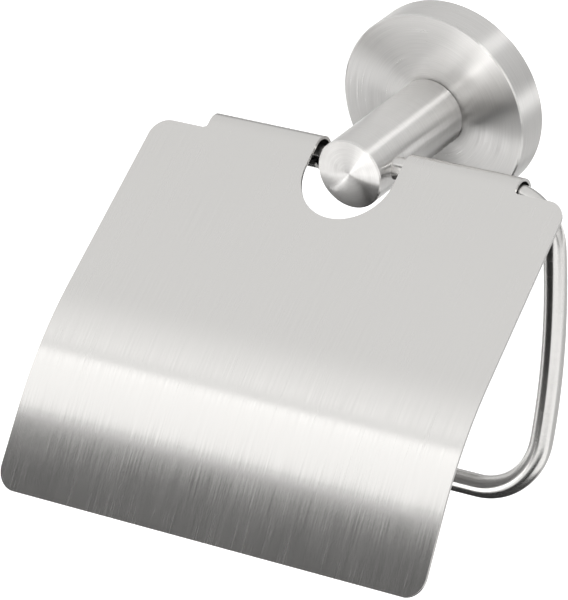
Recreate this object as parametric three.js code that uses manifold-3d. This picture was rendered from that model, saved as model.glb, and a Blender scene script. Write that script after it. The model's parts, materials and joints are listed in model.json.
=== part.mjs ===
// Wall-mounted toilet paper holder with a hinged lid, in brushed stainless steel.
//
// Frame: millimetres, +Z up, +X to the right seen from the front, -Y towards the user.
// The origin is on the wall, at the axis of the round flange.

import * as THREE from 'three';
import { mergeVertices } from 'three/addons/utils/BufferGeometryUtils.js';
import Module from 'manifold-3d';

const wasm = await Module();
wasm.setup();

const rad = THREE.MathUtils.degToRad;

// ---------------------------------------------------------------- driving sizes

const CLEARANCE = 0.3; // between pieces that rest on or pass through each other
const ROUND_SEGMENTS = 64;
const SCREW_SEGMENTS = 24;
const CUT_PAST = 1; // how far a cutting tool runs past the face that it opens

// flange: a round cup, open towards the wall
const FLANGE_RADIUS = 27;
const FLANGE_DEPTH = 10;
const FLANGE_WALL = 3;
const FLANGE_FACE = 2.5;
const FLANGE_CHAMFER = 0.4;

// wall plate inside the flange
const PLATE_THICKNESS = 6;
const PLATE_POCKET_MARGIN = 3; // of its pocket round the head of the post screw

// two countersunk screws into the wall, on a diagonal of the wall plate
const WALL_SCREW_OFFSET = 15; // from the flange axis
const WALL_SCREW_ANGLE = rad(135); // of the first screw, from +X towards +Z
const WALL_SCREW_RADIUS = 2;
const WALL_SCREW_HEAD_RADIUS = 3.9;
const WALL_SCREW_HEAD_DEPTH = 2.2;
const WALL_SCREW_REACH = 18; // of the tip behind the wall's face
const WALL_SCREW_TIP = 4;

// post
const POST_RADIUS = 9.35;
const POST_LENGTH = 40.3; // from the flange's face to the post's end face
const POST_CHAMFER = 0.35;
const POST_BASE_CHAMFER = 0.5;

// screw that pulls the post against the flange from behind, with its washer
const POST_SCREW_RADIUS = 3;
const POST_SCREW_GRIP = 12; // length inside the post
const POST_SCREW_HEAD_RADIUS = 5;
const POST_SCREW_HEAD_HEIGHT = 3;
const WASHER_RADIUS = 6.2;
const WASHER_THICKNESS = 1;

// grub screws with hexagon sockets
const GRUB_RADIUS = 1.9;
const GRUB_SOCKET = 1; // radius of the socket's inscribed circle
const GRUB_SOCKET_DEPTH = 2;
const FLANGE_GRUB_LENGTH = 5.5;
const FLANGE_GRUB_Y = -4;
const GRUB_RECESS = 0.4; // how far a grub screw sits below the surface

// bent rod: hinge pin, loop and roll arm in one piece
const ROD_RADIUS = 3;
const ROD_BEHIND_END_FACE = 8; // rod axis, behind the post's end face
const ROD_SEAT_DEPTH = 4; // full-diameter rod inside the post's right side
const PIN_RADIUS = 2; // turned-down end, through the post and the left curl
const PIN_END_INSET = 1; // inside the left curl's outer end
const ROD_TILT = rad(16); // the loop leans forward from the vertical
const BEND_INSIDE_CURL = 3; // the first bend starts this far inside the right curl's end
const UPPER_BEND_RADIUS = 13.5;
const UPPER_BEND_ANGLE = rad(81.3);
const SIDE_BOW_RADIUS = 203;
const SIDE_BOW_ANGLE = rad(14);
const LOWER_BEND_RADIUS = 17;
const ARM_END_X = -56;
const ROD_SIDES = 20;
const ROD_STEPS = 76;

// lid: one sheet, with two tabs curled round the hinge pin
const SHEET = 0.8;
const CURL_SLACK = 0.5; // between the curls and the rod, so that the bend's start clears them
const CURL_WRAP = rad(280);
const CURL_SEGMENTS = 18;
const LID_SLOPE = rad(33.3); // of the flat part, below the horizontal
const LID_HALF_WIDTH_TOP = 61.4;
const LID_HALF_WIDTH_BOTTOM = 63.4;
const LID_FLAT_LENGTH = 53.9; // from the hinge to the start of the bend
const LID_BEND_RADIUS = 97;
const LID_BEND_ANGLE = rad(20.1);
const LID_LIP_LENGTH = 21.5;
const EAR_TOP = 2.1; // top edge beside the tabs, from the hinge
const EAR_CORNER_RADIUS = 5;
const LIP_CORNER_RADIUS = 5.6;
const TAB_OUTER_X = 46;
const TAB_ROOT_FILLET = 1;
const NOTCH_GAP = 3.75; // between the notch's straight sides and the post
const NOTCH_STRAIGHT = 6.6; // length of its straight sides below the hinge

// plastic sleeve that fills the left curl round the thinner pin
const SLEEVE_END_INSET = 2.5; // from both ends of the curl

// ---------------------------------------------------------------- places worked out

const flangeFaceY = -FLANGE_DEPTH;
const flangeInsideY = -(FLANGE_DEPTH - FLANGE_FACE);
const flangeBoreRadius = FLANGE_RADIUS - FLANGE_WALL;
const postBaseY = flangeFaceY - CLEARANCE;
const postEndY = flangeFaceY - POST_LENGTH;
const rodY = postEndY + ROD_BEHIND_END_FACE;
const rodShoulderX = POST_RADIUS - ROD_SEAT_DEPTH;
const curlInnerRadius = ROD_RADIUS + CURL_SLACK;
const curlOuterRadius = curlInnerRadius + SHEET;
const notchHalfWidth = POST_RADIUS + NOTCH_GAP;
const upperRunEnd = TAB_OUTER_X - BEND_INSIDE_CURL;
const washerBackY = flangeInsideY + CLEARANCE + WASHER_THICKNESS;
const postScrewHeadY = washerBackY + CLEARANCE;
const postScrewBackY = postScrewHeadY + POST_SCREW_HEAD_HEIGHT;

// ---------------------------------------------------------------- materials

function steel(roughness, shade) {
  return new THREE.MeshStandardMaterial({ color: new THREE.Color(shade, shade, shade), metalness: 1, roughness });
}

const brushedSteel = steel(0.32, 0.66);
const turnedSteel = steel(0.25, 0.7);
const zincPlated = steel(0.45, 0.55);
const blackPlastic = new THREE.MeshStandardMaterial({ color: 0x151515, metalness: 0, roughness: 0.5 });

// ---------------------------------------------------------------- solid helpers

function toSolid(geometry) {
  const bare = geometry.clone();
  bare.deleteAttribute('normal');
  bare.deleteAttribute('uv');
  const merged = mergeVertices(bare, 1e-5);
  return new wasm.Manifold(new wasm.Mesh({
    numProp: 3,
    vertProperties: new Float32Array(merged.attributes.position.array),
    triVerts: new Uint32Array(merged.index.array),
  }));
}

function toGeometry(solid) {
  const mesh = solid.getMesh();
  const geometry = new THREE.BufferGeometry();
  geometry.setAttribute('position', new THREE.BufferAttribute(mesh.vertProperties, 3));
  geometry.setIndex(new THREE.BufferAttribute(mesh.triVerts, 1));
  geometry.computeVertexNormals();
  return geometry;
}

// Cuts every tool in turn out of the first geometry.
function cut(geometry, ...tools) {
  return toGeometry(tools.reduce((solid, tool) => solid.subtract(toSolid(tool)), toSolid(geometry)));
}

// Cylinder between two Y values round an axis parallel to Y, or any axis after a turn.
function cylinderY(radius, y0, y1, segments = ROUND_SEGMENTS, endRadius = radius) {
  const geometry = new THREE.CylinderGeometry(endRadius, radius, y1 - y0, segments);
  return geometry.translate(0, (y0 + y1) / 2, 0);
}

function cylinderX(radius, x0, x1, segments = ROUND_SEGMENTS) {
  return cylinderY(radius, -x1, -x0, segments).rotateZ(Math.PI / 2);
}

function cylinderZ(radius, z0, z1, segments = SCREW_SEGMENTS) {
  return cylinderY(radius, z0, z1, segments).rotateX(Math.PI / 2);
}

// Solid of revolution about the Y axis from [radius, y] points, listed from high y to low y outside.
function turned(profile, segments = ROUND_SEGMENTS) {
  return new THREE.LatheGeometry(profile.map(([r, y]) => new THREE.Vector2(r, y)), segments);
}

// Outline in the YZ plane carried along X from x0 to x1.
function extrudeAlongX(shape, x0, x1, curveSegments) {
  const geometry = new THREE.ExtrudeGeometry(shape, { depth: x1 - x0, bevelEnabled: false, curveSegments });
  const turn = new THREE.Matrix4().makeBasis(
    new THREE.Vector3(0, 1, 0),
    new THREE.Vector3(0, 0, 1),
    new THREE.Vector3(1, 0, 0),
  );
  return geometry.applyMatrix4(turn).translate(x0, 0, 0);
}

const group = new THREE.Group();

function addPiece(name, geometry, material, parent = group) {
  const mesh = new THREE.Mesh(geometry, material);
  mesh.name = name;
  parent.add(mesh);
  return mesh;
}

// ---------------------------------------------------------------- wall screws

const wallScrewPlaces = [WALL_SCREW_ANGLE, WALL_SCREW_ANGLE + Math.PI].map((angle) => ({
  x: WALL_SCREW_OFFSET * Math.cos(angle),
  z: WALL_SCREW_OFFSET * Math.sin(angle),
}));

// Countersunk screw along Y: head face at the plate's front, point behind the wall.
function wallScrewGeometry() {
  const headY = -PLATE_THICKNESS;
  const neckY = headY + WALL_SCREW_HEAD_DEPTH;
  const screw = turned([
    [0, WALL_SCREW_REACH],
    [WALL_SCREW_RADIUS, WALL_SCREW_REACH - WALL_SCREW_TIP],
    [WALL_SCREW_RADIUS, neckY],
    [WALL_SCREW_HEAD_RADIUS, headY],
    [0, headY],
  ].reverse(), SCREW_SEGMENTS);
  const slotLength = 1.3 * WALL_SCREW_HEAD_RADIUS;
  const slotWidth = 0.3 * WALL_SCREW_HEAD_RADIUS;
  const slotDepth = 0.6 * WALL_SCREW_HEAD_DEPTH;
  const slot = new THREE.BoxGeometry(slotLength, 2 * slotDepth, slotWidth).translate(0, headY, 0);
  return cut(screw, slot, slot.clone().rotateY(Math.PI / 2));
}

wallScrewPlaces.forEach((place, index) => {
  const screw = addPiece(`wall_screw_${index + 1}`, wallScrewGeometry(), zincPlated);
  screw.position.set(place.x, 0, place.z);
});

// ---------------------------------------------------------------- wall plate

function wallPlateGeometry() {
  const radius = flangeBoreRadius - CLEARANCE;
  const disc = cylinderY(radius, -PLATE_THICKNESS, 0);
  const pocket = cylinderY(
    POST_SCREW_HEAD_RADIUS + PLATE_POCKET_MARGIN,
    -PLATE_THICKNESS - CUT_PAST,
    postScrewBackY + CLEARANCE,
    SCREW_SEGMENTS,
  );
  const holes = wallScrewPlaces.flatMap((place) => {
    const shaft = cylinderY(
      WALL_SCREW_RADIUS + CLEARANCE,
      -PLATE_THICKNESS - CUT_PAST,
      CUT_PAST,
      SCREW_SEGMENTS,
    );
    const sink = cylinderY(
      WALL_SCREW_HEAD_RADIUS + 2 * CLEARANCE,
      -PLATE_THICKNESS,
      -PLATE_THICKNESS + WALL_SCREW_HEAD_DEPTH,
      SCREW_SEGMENTS,
      WALL_SCREW_RADIUS + 2 * CLEARANCE,
    );
    return [shaft, sink].map((tool) => tool.translate(place.x, 0, place.z));
  });
  const grubSeat = cylinderZ(
    GRUB_RADIUS + CLEARANCE,
    -radius - CUT_PAST,
    -FLANGE_RADIUS + GRUB_RECESS + FLANGE_GRUB_LENGTH + CLEARANCE,
  ).translate(0, FLANGE_GRUB_Y, 0);
  return cut(disc, pocket, grubSeat, ...holes);
}

addPiece('wall_plate', wallPlateGeometry(), zincPlated);

// ---------------------------------------------------------------- flange and its grub screw

function flangeGeometry() {
  const cup = turned([
    [flangeBoreRadius, 0],
    [flangeBoreRadius, flangeInsideY],
    [POST_SCREW_RADIUS + CLEARANCE, flangeInsideY],
    [POST_SCREW_RADIUS + CLEARANCE, flangeFaceY],
    [FLANGE_RADIUS - FLANGE_CHAMFER, flangeFaceY],
    [FLANGE_RADIUS, flangeFaceY + FLANGE_CHAMFER],
    [FLANGE_RADIUS, 0],
    [flangeBoreRadius, 0],
  ]);
  const grubHole = cylinderZ(
    GRUB_RADIUS + CLEARANCE,
    -FLANGE_RADIUS - CUT_PAST,
    -flangeBoreRadius + CUT_PAST,
  ).translate(0, FLANGE_GRUB_Y, 0);
  return cut(cup, grubHole);
}

addPiece('flange', flangeGeometry(), turnedSteel);

// Headless screw along Z with its socket facing down, its lower end at z = 0.
function grubScrewGeometry(length) {
  const body = cylinderZ(GRUB_RADIUS, 0, length);
  const socket = cylinderZ(GRUB_SOCKET / Math.cos(Math.PI / 6), -CUT_PAST, GRUB_SOCKET_DEPTH, 6);
  return cut(body, socket);
}

const flangeGrub = addPiece('flange_grub_screw', grubScrewGeometry(FLANGE_GRUB_LENGTH), zincPlated);
flangeGrub.position.set(0, FLANGE_GRUB_Y, -FLANGE_RADIUS + GRUB_RECESS);

// ---------------------------------------------------------------- post, its screw and washer

const rodSetScrewLength = POST_RADIUS - GRUB_RECESS - PIN_RADIUS - CLEARANCE;

function postGeometry() {
  const bar = turned([
    [0, postBaseY],
    [POST_RADIUS - POST_BASE_CHAMFER, postBaseY],
    [POST_RADIUS, postBaseY - POST_BASE_CHAMFER],
    [POST_RADIUS, postEndY + POST_CHAMFER],
    [POST_RADIUS - POST_CHAMFER, postEndY],
    [0, postEndY],
  ].reverse());
  const screwBore = cylinderY(
    POST_SCREW_RADIUS + CLEARANCE,
    postBaseY - POST_SCREW_GRIP - CLEARANCE,
    postBaseY + CUT_PAST,
    SCREW_SEGMENTS,
  );
  const pinHole = cylinderX(PIN_RADIUS + CLEARANCE, -POST_RADIUS - CUT_PAST, POST_RADIUS, SCREW_SEGMENTS);
  const rodSeat = cylinderX(
    ROD_RADIUS + CLEARANCE,
    rodShoulderX - CLEARANCE,
    POST_RADIUS + CUT_PAST,
    SCREW_SEGMENTS,
  );
  const setScrewHole = cylinderZ(GRUB_RADIUS + CLEARANCE, -POST_RADIUS - CUT_PAST, 0);
  const crossTools = [pinHole, rodSeat, setScrewHole].map((tool) => tool.translate(0, rodY, 0));
  return cut(bar, screwBore, ...crossTools);
}

addPiece('post', postGeometry(), brushedSteel);

function washerGeometry() {
  const innerRadius = POST_SCREW_RADIUS + CLEARANCE;
  return turned([
    [innerRadius, washerBackY],
    [innerRadius, washerBackY - WASHER_THICKNESS],
    [WASHER_RADIUS, washerBackY - WASHER_THICKNESS],
    [WASHER_RADIUS, washerBackY],
    [innerRadius, washerBackY],
  ], SCREW_SEGMENTS);
}

addPiece('post_washer', washerGeometry(), zincPlated);

function postScrewGeometry() {
  const screw = turned([
    [0, postScrewBackY],
    [POST_SCREW_HEAD_RADIUS, postScrewBackY],
    [POST_SCREW_HEAD_RADIUS, postScrewHeadY],
    [POST_SCREW_RADIUS, postScrewHeadY],
    [POST_SCREW_RADIUS, postBaseY - POST_SCREW_GRIP],
    [0, postBaseY - POST_SCREW_GRIP],
  ].reverse(), SCREW_SEGMENTS);
  const socketRadius = 0.55 * POST_SCREW_HEAD_RADIUS;
  const socketDepth = 0.6 * POST_SCREW_HEAD_HEIGHT;
  const socket = cylinderY(socketRadius, postScrewBackY - socketDepth, postScrewBackY + CUT_PAST, 6);
  return cut(screw, socket);
}

addPiece('post_screw', postScrewGeometry(), zincPlated);

const rodSetScrew = addPiece('rod_set_screw', grubScrewGeometry(rodSetScrewLength), zincPlated);
rodSetScrew.position.set(0, rodY, -POST_RADIUS + GRUB_RECESS);

// ---------------------------------------------------------------- bent rod

// Centre line of the full-diameter rod in the plane of its loop: it runs to the right, bends
// down, bows gently outwards, bends back under itself and runs to the left. A heading of 0
// points along +X, and each arc turns it clockwise, so it ends at 180 degrees.
class RodCentreLine extends THREE.Curve {
  constructor() {
    super();
    const lowerBendAngle = Math.PI - UPPER_BEND_ANGLE - SIDE_BOW_ANGLE;
    const arcs = [
      { radius: UPPER_BEND_RADIUS, angle: UPPER_BEND_ANGLE },
      { radius: SIDE_BOW_RADIUS, angle: SIDE_BOW_ANGLE },
      { radius: LOWER_BEND_RADIUS, angle: lowerBendAngle },
    ];
    this.pieces = [{ start: [rodShoulderX, 0], heading: 0, length: upperRunEnd - rodShoulderX }];
    for (const { radius, angle } of arcs) {
      const last = this.pieces.at(-1);
      const heading = last.heading + (last.radius ? last.length / last.radius : 0);
      this.pieces.push({ start: pointOn(last, last.length), heading, radius, length: radius * angle });
    }
    const bend = this.pieces.at(-1);
    const armStart = pointOn(bend, bend.length);
    this.pieces.push({ start: armStart, heading: Math.PI, length: armStart[0] - ARM_END_X });
    this.total = this.pieces.reduce((sum, piece) => sum + piece.length, 0);
  }

  getPoint(t, target = new THREE.Vector3()) {
    let along = t * this.total;
    let index = 0;
    while (index < this.pieces.length - 1 && along > this.pieces[index].length) {
      along -= this.pieces[index].length;
      index += 1;
    }
    const [x, drop] = pointOn(this.pieces[index], along);
    return target.set(x, -drop * Math.sin(ROD_TILT), -drop * Math.cos(ROD_TILT));
  }
}

// Point [x, drop] at a distance along a straight piece or an arc.
function pointOn({ start, heading, radius, length }, along) {
  if (!radius || !length) {
    return [start[0] + along * Math.cos(heading), start[1] + along * Math.sin(heading)];
  }
  const turn = along / radius;
  return [
    start[0] + radius * (Math.sin(heading + turn) - Math.sin(heading)),
    start[1] + radius * (Math.cos(heading) - Math.cos(heading + turn)),
  ];
}

function rollRodGeometry() {
  const section = new THREE.Shape().absarc(0, 0, ROD_RADIUS, 0, 2 * Math.PI);
  const tube = new THREE.ExtrudeGeometry(section, {
    extrudePath: new RodCentreLine(),
    steps: ROD_STEPS,
    curveSegments: ROD_SIDES / 2,
  });
  const pinEndX = -TAB_OUTER_X + PIN_END_INSET;
  const pin = cylinderX(PIN_RADIUS, pinEndX, rodShoulderX + CUT_PAST, SCREW_SEGMENTS);
  return toGeometry(toSolid(tube).add(toSolid(pin)));
}

const rollRod = addPiece('roll_rod', rollRodGeometry(), brushedSteel);
rollRod.position.set(0, rodY, 0);

// ---------------------------------------------------------------- plastic sleeve in the left curl

function hingeSleeveGeometry() {
  const x0 = -TAB_OUTER_X + SLEEVE_END_INSET;
  const x1 = -notchHalfWidth - SLEEVE_END_INSET;
  const bore = cylinderX(PIN_RADIUS + CLEARANCE, x0 - CUT_PAST, x1 + CUT_PAST, SCREW_SEGMENTS);
  return cut(cylinderX(curlInnerRadius - CLEARANCE, x0, x1, SCREW_SEGMENTS), bore);
}

const hingeSleeve = addPiece('hinge_sleeve', hingeSleeveGeometry(), blackPlastic);
hingeSleeve.position.set(0, rodY, 0);

// ---------------------------------------------------------------- lid
//
// Made in its own frame: the hinge axis is X, the flat part runs along -Y with its outer
// face at z = curlOuterRadius, and the whole is then turned down by LID_SLOPE.

function lidSheetProfile() {
  const outer = curlOuterRadius;
  const inner = curlInnerRadius;
  const bendCentre = outer - LID_BEND_RADIUS;
  const bendEnd = Math.PI / 2 + LID_BEND_ANGLE;
  const innerBendRadius = LID_BEND_RADIUS - SHEET;
  const lip = [-LID_LIP_LENGTH * Math.cos(LID_BEND_ANGLE), -LID_LIP_LENGTH * Math.sin(LID_BEND_ANGLE)];
  const lipStart = (radius) => [
    -LID_FLAT_LENGTH + radius * Math.cos(bendEnd),
    bendCentre + radius * Math.sin(bendEnd),
  ];
  const outerLip = lipStart(LID_BEND_RADIUS);
  const innerLip = lipStart(innerBendRadius);
  const shape = new THREE.Shape();
  shape.moveTo(0, outer);
  shape.lineTo(-LID_FLAT_LENGTH, outer);
  shape.absarc(-LID_FLAT_LENGTH, bendCentre, LID_BEND_RADIUS, Math.PI / 2, bendEnd, false);
  shape.lineTo(outerLip[0] + lip[0], outerLip[1] + lip[1]);
  shape.lineTo(innerLip[0] + lip[0], innerLip[1] + lip[1]);
  shape.lineTo(innerLip[0], innerLip[1]);
  shape.absarc(-LID_FLAT_LENGTH, bendCentre, innerBendRadius, bendEnd, Math.PI / 2, true);
  shape.lineTo(0, inner);
  return shape;
}

// Reach of the lid along -Y, measured in its own frame.
const lidReach = LID_FLAT_LENGTH
  + LID_BEND_RADIUS * Math.sin(LID_BEND_ANGLE)
  + LID_LIP_LENGTH * Math.cos(LID_BEND_ANGLE);

// Seen along the flat part's normal: tabs, ears, flared sides, rounded corners and the U notch.
function lidOutline() {
  const earY = -EAR_TOP;
  const lipY = -lidReach;
  const flare = (LID_HALF_WIDTH_BOTTOM - LID_HALF_WIDTH_TOP) / (lidReach - EAR_TOP);
  const earSideX = LID_HALF_WIDTH_TOP + flare * EAR_CORNER_RADIUS;
  const lipSideX = LID_HALF_WIDTH_BOTTOM - flare * LIP_CORNER_RADIUS;
  const shape = new THREE.Shape();
  shape.moveTo(notchHalfWidth, CUT_PAST);
  shape.lineTo(notchHalfWidth, -NOTCH_STRAIGHT);
  shape.absarc(0, -NOTCH_STRAIGHT, notchHalfWidth, 0, -Math.PI, true);
  shape.lineTo(-notchHalfWidth, CUT_PAST);
  shape.lineTo(-TAB_OUTER_X, CUT_PAST);
  shape.lineTo(-TAB_OUTER_X, earY + TAB_ROOT_FILLET);
  shape.absarc(-TAB_OUTER_X - TAB_ROOT_FILLET, earY + TAB_ROOT_FILLET, TAB_ROOT_FILLET, 0, -Math.PI / 2, true);
  shape.absarc(-earSideX + EAR_CORNER_RADIUS, earY - EAR_CORNER_RADIUS, EAR_CORNER_RADIUS, Math.PI / 2, Math.PI);
  shape.absarc(-lipSideX + LIP_CORNER_RADIUS, lipY + LIP_CORNER_RADIUS, LIP_CORNER_RADIUS, Math.PI, 1.5 * Math.PI);
  shape.absarc(lipSideX - LIP_CORNER_RADIUS, lipY + LIP_CORNER_RADIUS, LIP_CORNER_RADIUS, -Math.PI / 2, 0);
  shape.absarc(earSideX - EAR_CORNER_RADIUS, earY - EAR_CORNER_RADIUS, EAR_CORNER_RADIUS, 0, Math.PI / 2);
  shape.absarc(TAB_OUTER_X + TAB_ROOT_FILLET, earY + TAB_ROOT_FILLET, TAB_ROOT_FILLET, -Math.PI / 2, -Math.PI, true);
  shape.lineTo(TAB_OUTER_X, CUT_PAST);
  return shape;
}

// Ring sector from the flat part over the pin, down behind it and back under it.
function curlProfile() {
  const end = Math.PI / 2 - CURL_WRAP;
  const shape = new THREE.Shape();
  shape.moveTo(-EAR_TOP / 2, curlInnerRadius);
  shape.lineTo(-EAR_TOP / 2, curlOuterRadius);
  shape.lineTo(0, curlOuterRadius);
  shape.absarc(0, 0, curlOuterRadius, Math.PI / 2, end, true);
  shape.lineTo(curlInnerRadius * Math.cos(end), curlInnerRadius * Math.sin(end));
  shape.absarc(0, 0, curlInnerRadius, end, Math.PI / 2, false);
  return shape;
}

function lidGeometry() {
  const sheet = extrudeAlongX(lidSheetProfile(), -LID_HALF_WIDTH_BOTTOM, LID_HALF_WIDTH_BOTTOM, 6);
  const outlineDepth = 2 * lidReach;
  const outline = new THREE.ExtrudeGeometry(lidOutline(), {
    depth: outlineDepth,
    bevelEnabled: false,
    curveSegments: 6,
  }).translate(0, 0, -outlineDepth / 2);
  let solid = toSolid(sheet).intersect(toSolid(outline));
  for (const x0 of [-TAB_OUTER_X, notchHalfWidth]) {
    const x1 = x0 + TAB_OUTER_X - notchHalfWidth;
    solid = solid.add(toSolid(extrudeAlongX(curlProfile(), x0, x1, CURL_SEGMENTS)));
  }
  return toGeometry(solid);
}

const lid = addPiece('lid', lidGeometry(), brushedSteel);
lid.position.set(0, rodY, 0);
lid.rotation.x = LID_SLOPE;

export default group;
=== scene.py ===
"""Wall-mounted toilet paper holder with a hinged lid, in brushed stainless steel."""

import json
import math

import bmesh
import bpy
import numpy as np
from bpy.props import FloatProperty, FloatVectorProperty, IntProperty, PointerProperty
from mathutils import Matrix, Vector


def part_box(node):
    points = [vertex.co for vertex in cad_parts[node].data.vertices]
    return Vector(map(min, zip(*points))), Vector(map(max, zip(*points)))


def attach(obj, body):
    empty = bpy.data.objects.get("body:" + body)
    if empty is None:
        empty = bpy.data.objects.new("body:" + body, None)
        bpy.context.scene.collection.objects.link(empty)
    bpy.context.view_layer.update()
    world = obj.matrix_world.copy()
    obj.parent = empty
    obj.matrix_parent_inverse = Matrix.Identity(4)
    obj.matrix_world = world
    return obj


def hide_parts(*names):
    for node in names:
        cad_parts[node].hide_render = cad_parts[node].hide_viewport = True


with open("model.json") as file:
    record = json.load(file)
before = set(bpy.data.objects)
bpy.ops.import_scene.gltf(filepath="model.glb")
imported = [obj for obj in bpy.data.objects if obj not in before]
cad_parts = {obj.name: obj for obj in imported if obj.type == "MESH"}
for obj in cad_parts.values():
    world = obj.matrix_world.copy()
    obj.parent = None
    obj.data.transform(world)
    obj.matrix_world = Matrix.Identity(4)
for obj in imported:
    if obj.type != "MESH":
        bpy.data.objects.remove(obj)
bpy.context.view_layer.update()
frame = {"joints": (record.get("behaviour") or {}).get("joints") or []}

bl_info = {
    "name": "Toilet Paper Holder",
    "version": (1, 0, 0),
    "blender": (4, 5, 0),
    "location": "View3D > Sidebar > Holder",
    "description": "Builds a brushed steel toilet paper holder with a hinged lid",
    "category": "Add Mesh",
}

# ---- places from the frame

flange_low, flange_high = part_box("flange")
post_low, post_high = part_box("post")
plate_low, plate_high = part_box("wall_plate")
rod_low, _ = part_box("roll_rod")
sleeve_low, sleeve_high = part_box("hinge_sleeve")
screw_1_low, screw_1_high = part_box("wall_screw_1")
screw_2_low, screw_2_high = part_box("wall_screw_2")
post_screw_low, post_screw_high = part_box("post_screw")
washer_low, washer_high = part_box("post_washer")
grub_low, grub_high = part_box("flange_grub_screw")
set_low, set_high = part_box("rod_set_screw")
hinge = Vector(frame["joints"][0]["pos_m"])


# ---- sizes and colours

def length(name, description, default):
    """A length in metres that the user may change."""
    return FloatProperty(name=name, description=description, default=default, unit="LENGTH",
                         subtype="DISTANCE", precision=5, min=0.0)


def angle(name, description, degrees):
    """An angle that the user may change."""
    return FloatProperty(name=name, description=description, default=math.radians(degrees),
                         unit="ROTATION", subtype="ANGLE")


def colour(name, description, default):
    """A colour that the user may change."""
    return FloatVectorProperty(name=name, description=description, default=default,
                               subtype="COLOR", size=3, min=0.0, max=1.0)


def amount(name, description, default, high=1.0):
    """A plain number that the user may change."""
    return FloatProperty(name=name, description=description, default=default, min=0.0,
                         max=high, precision=4)


class HolderLidSizes(bpy.types.PropertyGroup):
    """The lid, one bent sheet with two tabs curled round the hinge pin."""
    sheet: length("Sheet", "Thickness of the sheet", 0.0008)
    curl_radius: length("Curl Radius", "Outer radius of the curled tabs", 0.0043)
    curl_wrap: angle("Curl Wrap", "How far the tabs wrap round the pin", 280)
    slope: angle("Slope", "Slope of the flat part below the horizontal", 33.3)
    flat: length("Flat", "From the hinge to the start of the bend", 0.0539)
    bend_radius: length("Bend Radius", "Outer radius of the front bend", 0.097)
    bend_angle: angle("Bend Angle", "Turn of the front bend", 20.1)
    lip: length("Lip", "Length of the straight lip", 0.0215)
    half_width_top: length("Half Width at Ears", "Half width at the ears", 0.0614)
    half_width_lip: length("Half Width at Lip", "Half width at the lip", 0.0634)
    ear_top: length("Ear Top", "Top edge of the ears, below the hinge", 0.0021)
    ear_corner: length("Ear Corner", "Radius of the ears' corners", 0.005)
    lip_corner: length("Lip Corner", "Radius of the lip's corners", 0.0056)
    tab_end: length("Tab End", "Outer end of the tabs, from the middle", 0.046)
    tab_fillet: length("Tab Fillet", "Fillet between a tab and its ear", 0.001)
    notch: length("Notch", "Half width and end radius of the notch", 0.0131)
    notch_straight: length("Notch Straight", "Length of the notch's straight sides", 0.0066)
    edge: length("Edge", "Width of the broken edges", 0.00012)
    fan: amount("Fan", "Share of the flat below the notch taken up by its fan of rows", 0.75)


class HolderRodSizes(bpy.types.PropertyGroup):
    """The bent rod: hinge pin, loop and roll arm in one piece."""
    radius: length("Radius", "Radius of the rod", 0.003)
    pin_radius: length("Pin Radius", "Radius of the turned-down pin", 0.002)
    pin_end: length("Pin End", "Left end of the pin, from the middle", 0.045)
    shoulder: length("Shoulder", "Start of the full diameter, from the middle", 0.00535)
    straight_end: length("Straight End", "Where the first bend starts", 0.043)
    tilt: angle("Tilt", "Forward lean of the loop", 16)
    upper_radius: length("Upper Bend", "Centre line radius of the upper bend", 0.0135)
    upper_angle: angle("Upper Turn", "Turn of the upper bend", 81.3)
    side_radius: length("Side Bow", "Centre line radius of the bowed side", 0.203)
    side_angle: angle("Side Turn", "Turn of the bowed side", 14)
    lower_radius: length("Lower Bend", "Centre line radius of the lower bend", 0.017)
    end_round: length("End Round", "Rounding of the rod's ends", 0.0006)
    shoulder_edge: length("Shoulder Edge", "Chamfer of the shoulder", 0.0003)
    sides: IntProperty(name="Sides", description="Sides of the rod's section", default=48, min=8)


class HolderMountSizes(bpy.types.PropertyGroup):
    """Flange, post and wall plate."""
    wall: length("Flange Wall", "Wall of the flange's rim", 0.003)
    face: length("Flange Face", "Thickness of the flange's face", 0.0025)
    chamfer: length("Chamfer", "Chamfer of the flange and of the post's end", 0.00035)
    base_chamfer: length("Base Chamfer", "Chamfer at the foot of the post", 0.0005)
    clearance: length("Clearance", "Gap round pins and screws in their holes", 0.0003)
    head_room: length("Head Room", "Room round the post screw's head in the wall plate", 0.003)
    around: IntProperty(name="Around", description="Steps round a turned piece", default=128, min=16)


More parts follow.
